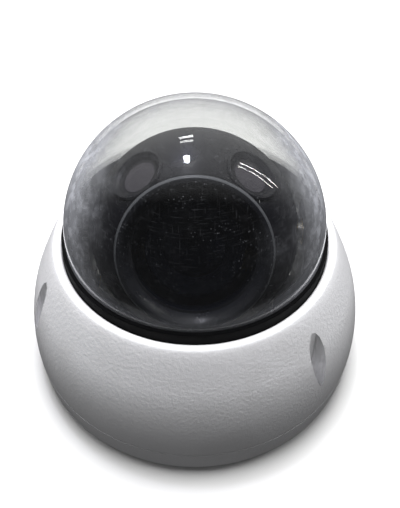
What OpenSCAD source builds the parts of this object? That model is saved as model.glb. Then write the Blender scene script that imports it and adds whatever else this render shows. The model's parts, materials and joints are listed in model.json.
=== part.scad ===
// Compact dome camera with motorised pan, tilt, zoom and focus.
// It stands on its base: z = 0 is the underside and the dome points up.
// The front, where the lens looks at rest, faces -Y.

/* [Housing] */
// Largest outside diameter of the housing
housing_d = 153; // [152:0.5:154]
// Height at which the housing is widest
equator_z = 18.2; // [17.5:0.1:19]
// Radius of the curved side seen in section
side_arc_r = 90; // [89:0.5:90.5]
// Height of the line between base and cover
seam_z = 13.8; // [13.5:0.1:14]
// Wall thickness of the die-cast shells
wall = 3; // [2.8:0.1:3.2]
// Thickness of the base floor
floor_t = 4; // [3.8:0.1:4.2]
// Radius of the opening that the dome stands in
opening_r = 58; // [57.9:0.05:58.1]
// Radius of the rounded edge of that opening
opening_round = 1.3; // [1:0.1:1.5]

/* [Cover screws] */
// Angle of the first screw pocket, to the right of the front
pocket_angle = 46.5; // [44:0.5:48]
// Distance of each pocket from the centre line
pocket_at_r = 71.2; // [71:0.1:71.3]
// Radius of a screw pocket
pocket_r = 4.4; // [4.2:0.1:4.4]
// Height of the pocket floor
pocket_floor_z = 20; // [19:0.5:21]

/* [Dome] */
// Outside radius of the clear dome
dome_r = 56.35; // [56.3:0.05:56.4]
// Wall thickness of the clear dome
dome_wall = 2.5; // [2.3:0.1:2.6]
// Height of the dome's centre
dome_z = 76.6; // [76.4:0.1:76.8]
// Height that the black gasket stands to
gasket_top_z = 76; // [75.5:0.1:76.2]

/* [Camera ball] */
// Outside radius of the camera ball
ball_r = 45; // [44.9:0.05:45]
// Height of the tilt axis
tilt_z = 72.6; // [72.5:0.1:72.8]
// Angle of the lens above the horizon at rest
lens_elevation = 30; // [28:1:32]
// Outside radius of the ring round the lens
hood_r = 32.4; // [32:0.1:32.4]
// Angle between the lens axis and each infrared window
ir_off_axis = 59.5; // [59:0.5:60]
// Angle of each infrared window to the side of the ball's top
ir_side = 37.6; // [36:0.2:40]

/* [Fixing] */
// Diameter of the circle of mounting holes
mount_circle_d = 96; // [95:1:97]
// Radius of a mounting hole
mount_hole_r = 2.4; // [2.2:0.1:2.6]
// Radius of the side conduit thread
conduit_r = 10; // [9:0.5:10]

/* [Hidden] */
$fn = 96;
eps = 0.01;

// Housing profile
side_centre_x = housing_d / 2 - side_arc_r;
housing_top_z = 73;
lip_round_x = opening_r + opening_round;
lip_round_z = equator_z + sqrt(pow(side_arc_r - opening_round, 2) - pow(lip_round_x - side_centre_x, 2));
lip_round_dir = [lip_round_x - side_centre_x, lip_round_z - equator_z] / (side_arc_r - opening_round);
lip_z = 65.5;
seam_gap = 0.3;
boss_drop = 0.5;
flange_in_r = 65.2;
flange_t = 2.5;
inner_ring_r = [65, 69.4];
seal_r = [66.5, 68.3];
seal_z = [12, seam_z];
boss_wall = 1.8;
screw_r = 2;
screw_head_r = 3.6;
screw_head_t = 4;
pocket_angles = [for (k = [0:2]) -90 + pocket_angle + 120 * k];

// Side conduit entry
conduit_angle = pocket_angles[1] + 60;
conduit_z = 16.5;
conduit_pad_r = 14.5;
conduit_stem_half = 13;
conduit_in_r = 60;
cover_notch_gap = 0.4;

// Dome foot and clamp
dome_in_r = dome_r - dome_wall;
dome_flange_r = 59.3;
dome_flange_z = [62, 64.5];
gasket_band_r = [dome_r, opening_r - 0.2];
clamp_ring_r = [54.2, 60.9];
clamp_ring_z = [59.5, 61.5];
clamp_lug_at_r = 59.2;
clamp_lug_r = 2.8;
clamp_lug_gap = 0.3;
clamp_lug_rise = 1;
clamp_screw_r = 1;
clamp_angles = [for (k = [0:5]) 15 + 60 * k];

// Boards and chassis
board_z = [6, 7.6];
board_x = 28;
board_y = [-61, 10];
board_neck_y = -40;
board_tab_x = 20;
board_post_r = 3;
board_posts = [[-24, 6], [24, 6], [-24, -34], [24, -34]];
chassis_z = [14, 15.5];
chassis_r = 38;
chassis_arm_half = 10;
chassis_post_r = 4;
chassis_posts = [[-29.4, 17], [29.4, 17], [0, -34]];
grommet_at = [0, 34];
grommet_hole_r = 8;
cable_hole_r = 3;
socket_size = [16, 14.5, 13.4];
socket_at = [-8, -61, board_z[1]];
terminal_size = [9, 8, 10];
terminal_at = [-19, -60, board_z[1]];
switch_size = 6;
switch_h = 4;
switch_at = [16, -57];
plunger_r = 1.75;
small_screw_r = 1.25;
small_head_r = 2.2;
small_head_t = 1.5;

// Pan drive
pan_module = 1;
pan_teeth = 90;
pan_pinion_teeth = 15;
pan_gear_z = [17.5, 22];
pan_gear_in_r = 39;
pan_motor_angle = pocket_angles[0] + 60;
pan_distance = pan_module * (pan_teeth + pan_pinion_teeth) / 2;
pan_motor_r = 10;
pan_motor_z = [5, chassis_z[0]];
pan_shaft_r = 1.5;
bearing_z = [13, 17];
bearing_outer_r = [20, 23];
bearing_inner_r = [15, 18];
bearing_ball_r = 0.95;
bearing_ball_n = 16;
turntable_z = [22, 25];
turntable_r = 52.2;
hub_in_r = 10;
slip_r = 4;
slip_housing_r = 7;
slip_top_z = 20;
run_gap = 0.05;

// Yoke
yoke_in_x = 46.6;
yoke_half_w = 14;
yoke_foot_x = 38;
yoke_foot_t = 2;
yoke_foot_screws_y = [-10, 10];
bush_r = [4, 6];
bush_x = [yoke_in_x, 51.2];
ball_flat_x = 44.2;

// Tilt drive, on the -X side
tilt_module = 0.8;
tilt_teeth = 48;
idler_teeth = 18;
tilt_pinion_teeth = 12;
gear_x = [ball_flat_x, 46.2];
idler_z = tilt_z - tilt_module * (tilt_teeth + idler_teeth) / 2;
tilt_pinion_z = idler_z - tilt_module * (idler_teeth + tilt_pinion_teeth) / 2;
tilt_motor_r = 6;
tilt_motor_x = [33.5, 43.8];
idler_pin_r = 1.5;
tilt_shaft_r = 1;

// Ball, in the lens's own frame: +Z is the lens axis, +Y its upright
shell_t = 2.4;
split_z = -9;
trunnion_r = 4;
trunnion_boss_r = 9;
hood_in_r = 25.4;
hood_z = [26.5, 34.2];
hood_round = 1.8;
hood_flange_r = 33.2;
window_z = [28.2, 29.7];
ir_window_r = 7.4;
hood_ir_gap = 0.3;
ir_recess_r = 9.4;
ir_window_at = [41.0, 42.4];
ir_board_at = [34, 35.2];

// Lens
barrel_r = [13.6, 16];
barrel_z = [-6.6, 22];
ring_in_r = 16.08;
lens_module = 0.6;
ring_teeth = 64;
zoom_pinion_teeth = 12;
focus_pinion_teeth = 16;
zoom_ring_z = [0, 6];
focus_ring_z = [9, 15];
zoom_pinion_angle = 200;
focus_pinion_angle = -20;
zoom_distance = lens_module * (ring_teeth + zoom_pinion_teeth) / 2;
focus_distance = lens_module * (ring_teeth + focus_pinion_teeth) / 2;
lens_motor_r = 4;
lens_shaft_r = 0.8;
zoom_motor_z = [-6.6, -0.6];
focus_motor_z = [2.4, 8.4];
group_r = 13.55;
zoom_group_z = [-4, 1];
focus_group_z = [13, 17];
plate_z = [-8.8, -6.8];
plate_r = 41.2;
frame_z = [-12.2, -9];
filter_size = [22, 11, 0.8];
filter_z = -11;
sensor_board_z = [-14, -12.4];
sensor_size = [6.4, 4.8, 1];

// ---------- shared shapes ----------

// Outside profile of the housing as a region to cut from, pulled in by inset.
module housing_half(inset = 0) {
  intersection() {
    translate([side_centre_x, equator_z])
      circle(r = side_arc_r - inset, $fn = 360);
    square([housing_d, housing_top_z]);
  }
}

module ring(r, z) {
  difference() {
    translate([0, 0, z[0]])
      cylinder(r = r[1], h = z[1] - z[0]);
    translate([0, 0, z[0] - 1])
      cylinder(r = r[0], h = z[1] - z[0] + 2);
  }
}

module post(r, z) {
  translate([0, 0, z[0]])
    cylinder(r = r, h = z[1] - z[0]);
}

// Outline of a spur gear with a tooth centred on +X, or a gap if phase is 0.5.
module gear_outline(m, teeth, phase = 0) {
  pitch_r = m * teeth / 2;
  root = -1.15;
  tip = 0.8;
  half_tooth = 0.21 * 360 / teeth;
  flank = tan(20) * m * 180 / (PI * pitch_r);
  polygon([
    for (k = [0:teeth - 1])
      for (p = [[root, -1], [tip, -1], [tip, 1], [root, 1]])
        let (a = (k + phase) * 360 / teeth + p[1] * (half_tooth - p[0] * flank))
          (pitch_r + p[0] * m) * [cos(a), sin(a)]
  ]);
}

module gear(m, teeth, z, bore, phase = 0) {
  translate([0, 0, z[0]])
    linear_extrude(z[1] - z[0])
      difference() {
        gear_outline(m, teeth, phase);
        circle(r = bore);
      }
}

module screw(r, head_r, head_t, z, drive_r) {
  difference() {
    union() {
      post(r, z);
      post(head_r, [z[1], z[1] + head_t]);
    }
    translate([0, 0, z[1] + head_t * 0.45])
      cylinder(r = drive_r, h = head_t, $fn = 6);
  }
}

module at_pockets() {
  for (a = pocket_angles)
    rotate(a)
      translate([pocket_at_r, 0, 0])
        children();
}

module at_conduit() {
  rotate(conduit_angle)
    translate([0, 0, conduit_z])
      rotate([0, 90, 0])
        children();
}

module at_clamps() {
  for (a = clamp_angles)
    rotate(a)
      translate([clamp_lug_at_r, 0, 0])
        children();
}

module at_mount_holes() {
  for (k = [0:3])
    rotate(45 + 90 * k)
      translate([mount_circle_d / 2, 0, 0])
        children();
}

module at_points(points) {
  for (p = points)
    translate([p[0], p[1], 0])
      children();
}

module at_pan_motor() {
  rotate(pan_motor_angle)
    translate([pan_distance, 0, 0])
      children();
}

// Puts a +Z shape on the tilt side, pointing along -X, at height z.
module on_tilt_side(z) {
  translate([0, 0, z])
    rotate([0, -90, 0])
      children();
}

module lens_frame() {
  translate([0, 0, tilt_z])
    rotate([90 - lens_elevation, 0, 0])
      children();
}

module at_ir() {
  for (side = [-1, 1])
    rotate(side * ir_side)
      rotate([-ir_off_axis, 0, 0])
        children();
}

module polar(angle, distance) {
  rotate(angle)
    translate([distance, 0, 0])
      rotate(-angle)
        children();
}

// ---------- base ----------

module conduit_pad(grow = 0) {
  intersection() {
    union() {
      at_conduit()
        translate([0, 0, conduit_in_r])
          cylinder(r = conduit_pad_r + grow, h = 30);
      rotate(conduit_angle)
        translate([conduit_in_r, -conduit_stem_half - grow, 0])
          cube([30, 2 * (conduit_stem_half + grow), conduit_z]);
    }
    rotate_extrude($fn = 360)
      housing_half();
  }
}

module base_casting() {
  color("gainsboro")
    difference() {
      union() {
        rotate_extrude($fn = 360)
          intersection() {
            housing_half();
            union() {
              square([housing_d, floor_t]);
              difference() {
                square([housing_d, seam_z - seam_gap]);
                translate([side_centre_x, equator_z])
                  circle(r = side_arc_r - wall, $fn = 360);
              }
              translate([inner_ring_r[0], 0])
                square([inner_ring_r[1] - inner_ring_r[0], seam_z - seam_gap]);
            }
          }
        intersection() {
          at_pockets()
            post(pocket_r + boss_wall, [0, seam_z - seam_gap - boss_drop]);
          rotate_extrude($fn = 360)
            housing_half();
        }
        conduit_pad();
        at_points(board_posts)
          post(board_post_r, [floor_t - 1, board_z[0]]);
        at_points(chassis_posts)
          post(chassis_post_r, [floor_t - 1, chassis_z[0]]);
      }
      difference() {
        ring(seal_r, [seal_z[0], seam_z + 1]);
        conduit_pad(cover_notch_gap + 1);
      }
      at_pockets()
        post(screw_r + 0.04, [3, seam_z]);
      at_conduit()
        translate([0, 0, conduit_in_r - 1])
          cylinder(r = conduit_r, h = 30);
      at_mount_holes()
        post(mount_hole_r, [-1, floor_t + 1]);
      translate(grommet_at)
        post(grommet_hole_r, [-1, floor_t + 1]);
      at_points(board_posts)
        post(small_screw_r, [2, board_z[0] + 1]);
      at_points(chassis_posts)
        post(small_screw_r, [8, chassis_z[0] + 1]);
    }
}

module cover_seal() {
  color("dimgray")
    difference() {
      ring(seal_r, seal_z);
      conduit_pad(cover_notch_gap + 1);
    }
}

// ---------- cover ----------

module cover_section() {
  difference() {
    intersection() {
      housing_half();
      translate([0, seam_z])
        square([housing_d, housing_top_z - seam_z]);
    }
    intersection() {
      translate([side_centre_x, equator_z])
        circle(r = side_arc_r - wall, $fn = 360);
      translate([0, seam_z + flange_t])
        square([housing_d, lip_z - seam_z - flange_t]);
    }
    square([flange_in_r, seam_z + flange_t + 1]);
    square([opening_r, housing_top_z + 1]);
    translate([lip_round_x, lip_round_z])
      difference() {
        polygon([[0, 0], 12 * lip_round_dir, [9, 9], [-opening_round - 1, 9], [-opening_round - 1, 0]]);
        circle(r = opening_round);
      }
  }
}

module cover_casting() {
  color("gainsboro")
    difference() {
      union() {
        rotate_extrude($fn = 360)
          cover_section();
        intersection() {
          union() {
            at_pockets()
              post(pocket_r + boss_wall, [seam_z, housing_top_z]);
            at_clamps()
              post(clamp_lug_r, [clamp_ring_z[1], lip_z + clamp_lug_rise]);
          }
          rotate_extrude($fn = 360)
            intersection() {
              housing_half(0.5);
              translate([0, seam_z])
                square([housing_d, lip_z + clamp_lug_rise - seam_z]);
            }
        }
      }
      at_pockets() {
        post(pocket_r, [pocket_floor_z, housing_top_z]);
        post(screw_r + 0.2, [seam_z - 1, pocket_floor_z + 1]);
        post(screw_r + 1.2, [seam_z - 1, seam_z + 1.2]);
      }
      at_clamps()
        post(clamp_screw_r, [clamp_ring_z[1] - 1, lip_z - 1]);
      conduit_pad(cover_notch_gap);
    }
}

module cover_screws() {
  color("silver")
    at_pockets()
      screw(screw_r, screw_head_r, screw_head_t, [4, pocket_floor_z], 2);
}

module screw_clips() {
  color("silver")
    at_pockets()
      ring([screw_r, screw_r + 1.1], [seam_z + 0.2, seam_z + 1]);
}

// ---------- dome ----------

module dome_bubble() {
  color([0.85, 0.9, 0.92, 0.35])
    difference() {
      union() {
        translate([0, 0, dome_z])
          intersection() {
            sphere(r = dome_r, $fn = 128);
            translate([0, 0, dome_r])
              cube(2 * dome_r, center = true);
          }
        post(dome_r, [dome_flange_z[0], dome_z]);
        post(dome_flange_r, dome_flange_z);
      }
      translate([0, 0, dome_z])
        intersection() {
          sphere(r = dome_in_r, $fn = 128);
          translate([0, 0, dome_r])
            cube(2 * dome_r, center = true);
        }
      post(dome_in_r, [dome_flange_z[0] - 1, dome_z]);
      at_clamps()
        post(clamp_lug_r + clamp_lug_gap, [dome_flange_z[0] - 1, dome_flange_z[1] + 1]);
    }
}

module dome_gasket() {
  color("black")
    difference() {
      rotate_extrude($fn = 180)
        union() {
          translate([gasket_band_r[0], dome_flange_z[1]])
            square([gasket_band_r[1] - gasket_band_r[0], gasket_top_z - 0.7 - dome_flange_z[1]]);
          translate([gasket_band_r[0], gasket_top_z - 0.7])
            intersection() {
              circle(r = 0.7, $fn = 32);
              square(1);
            }
          translate([gasket_band_r[0], gasket_top_z - 1])
            square([0.7, 0.3]);
          translate([gasket_band_r[0], dome_flange_z[1]])
            square([dome_flange_r - gasket_band_r[0], lip_z - dome_flange_z[1]]);
        }
      at_clamps()
        post(clamp_lug_r + clamp_lug_gap, [dome_flange_z[1] - 1, lip_z + clamp_lug_rise + clamp_lug_gap]);
    }
}

module dome_clamp_ring() {
  color("gray")
    difference() {
      ring(clamp_ring_r, clamp_ring_z);
      at_clamps()
        post(clamp_screw_r + 0.1, [clamp_ring_z[0] - 1, clamp_ring_z[1] + 1]);
    }
}

module clamp_screws() {
  color("silver")
    at_clamps()
      translate([0, 0, clamp_ring_z[0]])
        mirror([0, 0, 1])
          difference() {
            union() {
              post(clamp_screw_r, [-4.5, 0]);
              post(1.8, [0, 1.4]);
            }
            translate([0, 0, 0.7])
              cylinder(r = 0.9, h = 2, $fn = 6);
          }
}

// ---------- electronics in the base ----------

module cable_grommet() {
  color("black")
    translate(grommet_at)
      difference() {
        union() {
          post(grommet_hole_r, [0.4, floor_t]);
          post(grommet_hole_r + 2, [floor_t, floor_t + 2]);
          post(grommet_hole_r - 2, [floor_t, floor_t + 6]);
        }
        post(cable_hole_r, [-1, floor_t + 7]);
      }
}

module main_board() {
  color("darkgreen")
    difference() {
      union() {
        translate([-board_x, board_neck_y, board_z[0]])
          cube([2 * board_x, board_y[1] - board_neck_y, board_z[1] - board_z[0]]);
        translate([-board_tab_x, board_y[0], board_z[0]])
          cube([2 * board_tab_x, board_neck_y - board_y[0] + 1, board_z[1] - board_z[0]]);
        translate([-16, -14, board_z[1]])
          cube([10, 10, 1.6]);
        translate([10, -24, board_z[1]])
          cube([12, 8, 1.4]);
        translate([-20, -32, board_z[1]])
          cube([8, 8, 1.4]);
        for (x = [-24, 24])
          translate([x, -10, board_z[1] - 1])
            post(3, [0, 6]);
      }
      at_points(board_posts)
        post(small_screw_r + 0.1, [board_z[0] - 1, board_z[1] + 1]);
      translate(chassis_posts[2])
        post(chassis_post_r + 0.5, [board_z[0] - 1, board_z[1] + 1]);
    }
}

module board_screws() {
  color("silver")
    at_points(board_posts)
      screw(small_screw_r, small_head_r, small_head_t, [3, board_z[1]], 1.1);
}

module network_socket() {
  color("silver")
    difference() {
      translate(socket_at)
        cube(socket_size);
      translate(socket_at + [4, 1.2, 2.5])
        cube([socket_size[0], 12, 8.5]);
    }
}

module power_terminal() {
  color("seagreen")
    difference() {
      translate(terminal_at)
        cube(terminal_size);
      for (y = [2, 6])
        translate(terminal_at + [4, y, 6])
          post(1.2, [0, 5]);
      for (y = [2, 6])
        translate(terminal_at + [-1, y - 1, 1.5])
          cube([5, 2, 3]);
    }
}

module switch_body() {
  color("dimgray")
    difference() {
      translate([switch_at[0], switch_at[1], board_z[1] + switch_h / 2])
        cube([switch_size, switch_size, switch_h], center = true);
      translate(switch_at)
        post(plunger_r + run_gap, [board_z[1] + 1, board_z[1] + switch_h + 1]);
    }
}

module reset_button() {
  color("black")
    translate(switch_at)
      post(plunger_r, [board_z[1] + 2, board_z[1] + switch_h + 2]);
}

// ---------- chassis and pan bearing ----------

module chassis_plate() {
  color("lightsteelblue")
    difference() {
      union() {
        post(chassis_r, chassis_z);
        at_pan_motor()
          post(12, chassis_z);
        rotate(pan_motor_angle)
          translate([30, -chassis_arm_half, chassis_z[0]])
            cube([pan_distance - 30, 2 * chassis_arm_half, chassis_z[1] - chassis_z[0]]);
      }
      post(bearing_outer_r[1], [chassis_z[0] - 1, chassis_z[1] + 1]);
      at_pan_motor()
        post(3, [chassis_z[0] - 1, chassis_z[1] + 1]);
      at_points(chassis_posts)
        post(small_screw_r + 0.1, [chassis_z[0] - 1, chassis_z[1] + 1]);
    }
}

module chassis_screws() {
  color("silver")
    at_points(chassis_posts)
      screw(small_screw_r, small_head_r, small_head_t, [9, chassis_z[1]], 1.1);
}

module bearing_outer() {
  color("silver")
    ring(bearing_outer_r, bearing_z);
}

module bearing_inner() {
  color("silver")
    ring(bearing_inner_r, bearing_z);
}

module bearing_balls() {
  track_r = (bearing_outer_r[0] + bearing_inner_r[1]) / 2;
  color("silver")
    for (k = [0:bearing_ball_n - 1])
      rotate(360 * k / bearing_ball_n)
        translate([track_r, 0, (bearing_z[0] + bearing_z[1]) / 2])
          sphere(r = bearing_ball_r, $fn = 24);
}

module pan_motor() {
  color("silver")
    at_pan_motor()
      difference() {
        union() {
          post(pan_motor_r, [pan_motor_z[0], chassis_z[0]]);
          post(2.9, [chassis_z[0], chassis_z[1] + 0.5]);
        }
        post(pan_shaft_r + run_gap, [8, chassis_z[1] + 2]);
      }
}

module pan_pinion() {
  color("dimgray")
    at_pan_motor()
      union() {
        gear(pan_module, pan_pinion_teeth, [pan_gear_z[0] + 0.3, pan_gear_z[1] - 0.3], 0.5);
        post(pan_shaft_r, [9, pan_gear_z[1] - 0.3]);
      }
}

module slip_ring_housing() {
  color("dimgray")
    ring([slip_r + run_gap, slip_housing_r], [board_z[1], slip_top_z]);
}

module slip_ring_rotor() {
  color("gold")
    union() {
      post(slip_r, [10, turntable_z[1] + 0.5]);
      post(12, [turntable_z[1], turntable_z[1] + 1.2]);
    }
}

module turntable() {
  color("whitesmoke")
    difference() {
      union() {
        post(turntable_r, turntable_z);
        rotate(pan_motor_angle)
          gear(pan_module, pan_teeth, [pan_gear_z[0], turntable_z[0] + 1], pan_gear_in_r);
        post(bearing_inner_r[0], [bearing_z[0], turntable_z[0] + 1]);
        post(bearing_inner_r[1], [bearing_z[1] + 0.02, turntable_z[0] + 1]);
      }
      post(hub_in_r, [bearing_z[0] - 1, turntable_z[1] + 1]);
      for (x = [-42, 42])
        at_points([for (y = yoke_foot_screws_y) [x, y]])
          post(small_screw_r, [turntable_z[0] - 0.5, turntable_z[1] + 1]);
    }
}

// ---------- yoke ----------

// One arm on the +X side.
module yoke_arm() {
  difference() {
    union() {
      intersection() {
        post(turntable_r, [turntable_z[1], tilt_z + yoke_half_w]);
        translate([yoke_in_x, 0, 0])
          rotate([90, 0, 90])
            linear_extrude(10)
              union() {
                translate([0, tilt_z])
                  circle(r = yoke_half_w);
                translate([-yoke_half_w, turntable_z[1]])
                  square([2 * yoke_half_w, tilt_z - turntable_z[1]]);
              }
      }
      translate([yoke_foot_x, -yoke_half_w, turntable_z[1]])
        cube([yoke_in_x - yoke_foot_x + 1, 2 * yoke_half_w, yoke_foot_t]);
    }
    translate([yoke_in_x - 1, 0, tilt_z])
      rotate([0, 90, 0])
        cylinder(r = bush_r[1], h = 10);
    at_points([for (y = yoke_foot_screws_y) [42, y]])
      post(small_screw_r + 0.1, [turntable_z[1] - 1, turntable_z[1] + yoke_foot_t + 1]);
  }
}

module yoke_right() {
  color("black")
    yoke_arm();
}

module yoke_left() {
  color("black")
    difference() {
      mirror([1, 0, 0])
        yoke_arm();
      on_tilt_side(idler_z)
        post(idler_pin_r, [yoke_in_x - 1, yoke_in_x + 2.5]);
    }
}

module yoke_screws() {
  color("silver")
    for (x = [-42, 42])
      at_points([for (y = yoke_foot_screws_y) [x, y]])
        screw(small_screw_r, small_head_r, small_head_t,
          [turntable_z[0], turntable_z[1] + yoke_foot_t], 1.1);
}

module tilt_bush() {
  rotate([0, 90, 0])
    ring([bush_r[0] + run_gap, bush_r[1]], bush_x);
}

module tilt_bush_right() {
  color("goldenrod")
    translate([0, 0, tilt_z])
      tilt_bush();
}

module tilt_bush_left() {
  color("goldenrod")
    translate([0, 0, tilt_z])
      mirror([1, 0, 0])
        tilt_bush();
}

module tilt_motor() {
  color("silver")
    on_tilt_side(tilt_pinion_z)
      difference() {
        post(tilt_motor_r, tilt_motor_x);
        post(tilt_shaft_r + run_gap, [tilt_motor_x[0] + 3, tilt_motor_x[1] + 1]);
      }
}

module motor_bracket() {
  color("lightsteelblue")
    union() {
      translate([-tilt_motor_x[0], -7, turntable_z[1]])
        cube([1.4, 14, 14.5]);
      translate([-tilt_motor_x[0], -7, turntable_z[1]])
        cube([8, 14, 1.4]);
    }
}

module idler_pin() {
  color("silver")
    on_tilt_side(idler_z)
      post(idler_pin_r, [gear_x[0] + 0.2, yoke_in_x + 2.4]);
}

module tilt_idler() {
  color("dimgray")
    on_tilt_side(idler_z)
      gear(tilt_module, idler_teeth, [gear_x[0] + 0.2, gear_x[1]], idler_pin_r + run_gap, 0.5);
}

module tilt_pinion() {
  color("goldenrod")
    on_tilt_side(tilt_pinion_z)
      union() {
        gear(tilt_module, tilt_pinion_teeth, [gear_x[0] + 0.2, gear_x[1]], 0.5);
        post(tilt_shaft_r, [tilt_motor_x[0] + 4, gear_x[1]]);
      }
}

// ---------- ball ----------

module tilt_gear() {
  color("dimgray")
    on_tilt_side(tilt_z)
      gear(tilt_module, tilt_teeth, gear_x, trunnion_r);
}

module trunnion() {
  rotate([0, 90, 0])
    union() {
      post(trunnion_r, [37, bush_x[1] - 0.2]);
      post(7, [35.5, 37.5]);
    }
}

module trunnion_right() {
  color("silver")
    translate([0, 0, tilt_z])
      trunnion();
}

module trunnion_left() {
  color("silver")
    translate([0, 0, tilt_z])
      mirror([1, 0, 0])
        trunnion();
}

module ball_solid() {
  intersection() {
    sphere(r = ball_r, $fn = 128);
    cube([2 * ball_flat_x, 3 * ball_r, 3 * ball_r], center = true);
  }
}

module ball_front_shell() {
  color("black")
    lens_frame()
      difference() {
        intersection() {
          ball_solid();
          translate([0, 0, split_z])
            cylinder(r = 2 * ball_r, h = 2 * ball_r);
        }
        difference() {
          sphere(r = ball_r - shell_t, $fn = 128);
          for (side = [-1, 1])
            rotate([0, side * 90, 0])
              post(trunnion_boss_r, [38, ball_r + 1]);
          at_ir()
            post(ir_recess_r + 1.5, [ir_window_at[0] - 1.5, ball_r + 1]);
        }
        rotate([0, 90, 0])
          post(trunnion_r, [-50, 50]);
        post(hood_r, [0, 50]);
        post(hood_flange_r + 0.1, [0, hood_z[0]]);
        at_ir() {
          post(ir_window_r, [0, 50]);
          post(ir_recess_r, [ir_window_at[1], 50]);
        }
      }
}

module ball_rear_shell() {
  color("black")
    lens_frame()
      difference() {
        intersection() {
          ball_solid();
          translate([0, 0, split_z - 0.02 - 2 * ball_r])
            cylinder(r = 2 * ball_r, h = 2 * ball_r);
        }
        sphere(r = ball_r - shell_t, $fn = 128);
      }
}

module hood_ring() {
  round_z = hood_z[1] - hood_round;
  color("black")
    lens_frame()
      difference() {
        rotate_extrude($fn = 180)
          union() {
            difference() {
              translate([hood_in_r, hood_z[0]])
                square([hood_r - hood_in_r, hood_z[1] - hood_z[0]]);
              translate([hood_r - hood_round, round_z])
                difference() {
                  square(hood_round + 1);
                  circle(r = hood_round);
                }
              translate([hood_in_r, window_z[1]])
                polygon([[-1, 0], [1.2, 0], [4.6, hood_z[1] - window_z[1] + eps], [-1, 9]]);
            }
            translate([hood_in_r, hood_z[0] - 1.8])
              square([hood_flange_r - hood_in_r, 1.8]);
          }
        at_ir()
          post(ir_window_r + hood_ir_gap, ir_window_at + [-3, 0.6]);
      }
}

module lens_window() {
  color([0.1, 0.1, 0.12, 0.5])
    lens_frame()
      post(hood_in_r, window_z);
}

module ir_windows() {
  color([0.25, 0.22, 0.24, 0.6])
    lens_frame()
      at_ir()
        post(ir_window_r, ir_window_at);
}

module ir_led_boards() {
  color("darkgreen")
    lens_frame()
      at_ir()
        post(7, ir_board_at);
}

module ir_lamps() {
  color("white")
    lens_frame()
      at_ir()
        union() {
          post(3, [ir_board_at[1], ir_board_at[1] + 1.6]);
          translate([0, 0, ir_board_at[1] + 1.6])
            intersection() {
              sphere(r = 2.4, $fn = 48);
              post(3, [0, 3]);
            }
        }
}

module lens_plate() {
  color("lightsteelblue")
    lens_frame()
      difference() {
        intersection() {
          post(plate_r, plate_z);
          cube([72, 200, 100], center = true);
        }
        post(9, [plate_z[0] - 1, plate_z[1] + 1]);
      }
}

// ---------- lens ----------

module lens_barrel() {
  color("black")
    lens_frame()
      difference() {
        union() {
          ring(barrel_r, barrel_z);
          ring([9, barrel_r[1]], [plate_z[1], plate_z[1] + 1.5]);
        }
        polar(90, barrel_r[1])
          translate([-2, -4, -3])
            cube([4, 8, 12]);
      }
}

module lens_front_ring() {
  color("black")
    lens_frame()
      difference() {
        union() {
          ring([13.2, 20.5], [barrel_z[1], barrel_z[1] + 4]);
        }
        translate([0, 0, barrel_z[1] + 1])
          cylinder(r1 = 13.2, r2 = 18.5, h = 3 + eps);
      }
}

module front_element() {
  color([0.3, 0.35, 0.5, 0.5])
    lens_frame()
      intersection() {
        post(13.2, [barrel_z[1] - 3, barrel_z[1] + 6]);
        translate([0, 0, barrel_z[1] - 20])
          sphere(r = 24, $fn = 96);
      }
}

module zoom_ring() {
  color("dimgray")
    lens_frame()
      rotate(zoom_pinion_angle)
        gear(lens_module, ring_teeth, zoom_ring_z, ring_in_r);
}

module focus_ring() {
  color("dimgray")
    lens_frame()
      rotate(focus_pinion_angle)
        gear(lens_module, ring_teeth, focus_ring_z, ring_in_r);
}

module lens_group(z, cell_r) {
  union() {
    ring([cell_r, group_r], z);
    post(cell_r + eps, [z[0] + 1, z[1] - 1]);
  }
}

module zoom_group() {
  color("slategray")
    lens_frame()
      lens_group(zoom_group_z, 9);
}

module focus_group() {
  color("slategray")
    lens_frame()
      lens_group(focus_group_z, 10.5);
}

module zoom_drive() {
  color("goldenrod")
    lens_frame()
      polar(zoom_pinion_angle, zoom_distance)
        union() {
          rotate(zoom_pinion_angle)
            gear(lens_module, zoom_pinion_teeth, [0.4, 5.6], 0.4, 0.5);
          post(lens_shaft_r, [-4, 5.6]);
        }
}

module focus_drive() {
  color("goldenrod")
    lens_frame()
      polar(focus_pinion_angle, focus_distance)
        union() {
          rotate(focus_pinion_angle)
            gear(lens_module, focus_pinion_teeth, [9.4, 14.6], 0.4, 0.5);
          post(lens_shaft_r, [5, 14.6]);
        }
}

module lens_motor(z) {
  difference() {
    post(lens_motor_r, z);
    post(lens_shaft_r + run_gap, [z[1] - 4, z[1] + 1]);
  }
}

module lens_motors() {
  color("silver")
    lens_frame()
      union() {
        polar(zoom_pinion_angle, zoom_distance)
          lens_motor(zoom_motor_z);
        polar(focus_pinion_angle, focus_distance)
          lens_motor(focus_motor_z);
      }
}

// ---------- filter and sensor ----------

module filter_frame() {
  color("dimgray")
    lens_frame()
      difference() {
        translate([-18, -9, frame_z[0]])
          cube([36, 18, frame_z[1] - frame_z[0]]);
        translate([-17, -6, filter_z - 0.3])
          cube([34, 12, filter_size[2] + 0.6]);
        post(5, [frame_z[0] - 1, frame_z[1] + 1]);
      }
}

module filter_slide() {
  color("teal")
    lens_frame()
      translate([-16.5, -filter_size[1] / 2, filter_z])
        cube(filter_size);
}

module sensor_board() {
  color("darkgreen")
    lens_frame()
      union() {
        translate([-18, -16, sensor_board_z[0]])
          cube([36, 32, sensor_board_z[1] - sensor_board_z[0]]);
        translate([-8, 9.5, sensor_board_z[1] - 0.5])
          cube([16, 5, 3]);
        translate([-sensor_size[0] / 2, -sensor_size[1] / 2, sensor_board_z[1] - 0.5])
          cube(sensor_size + [0, 0, 0.5]);
        translate([-10, -12, sensor_board_z[0] - 1.5])
          cube([14, 14, 1.6]);
      }
}

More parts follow.
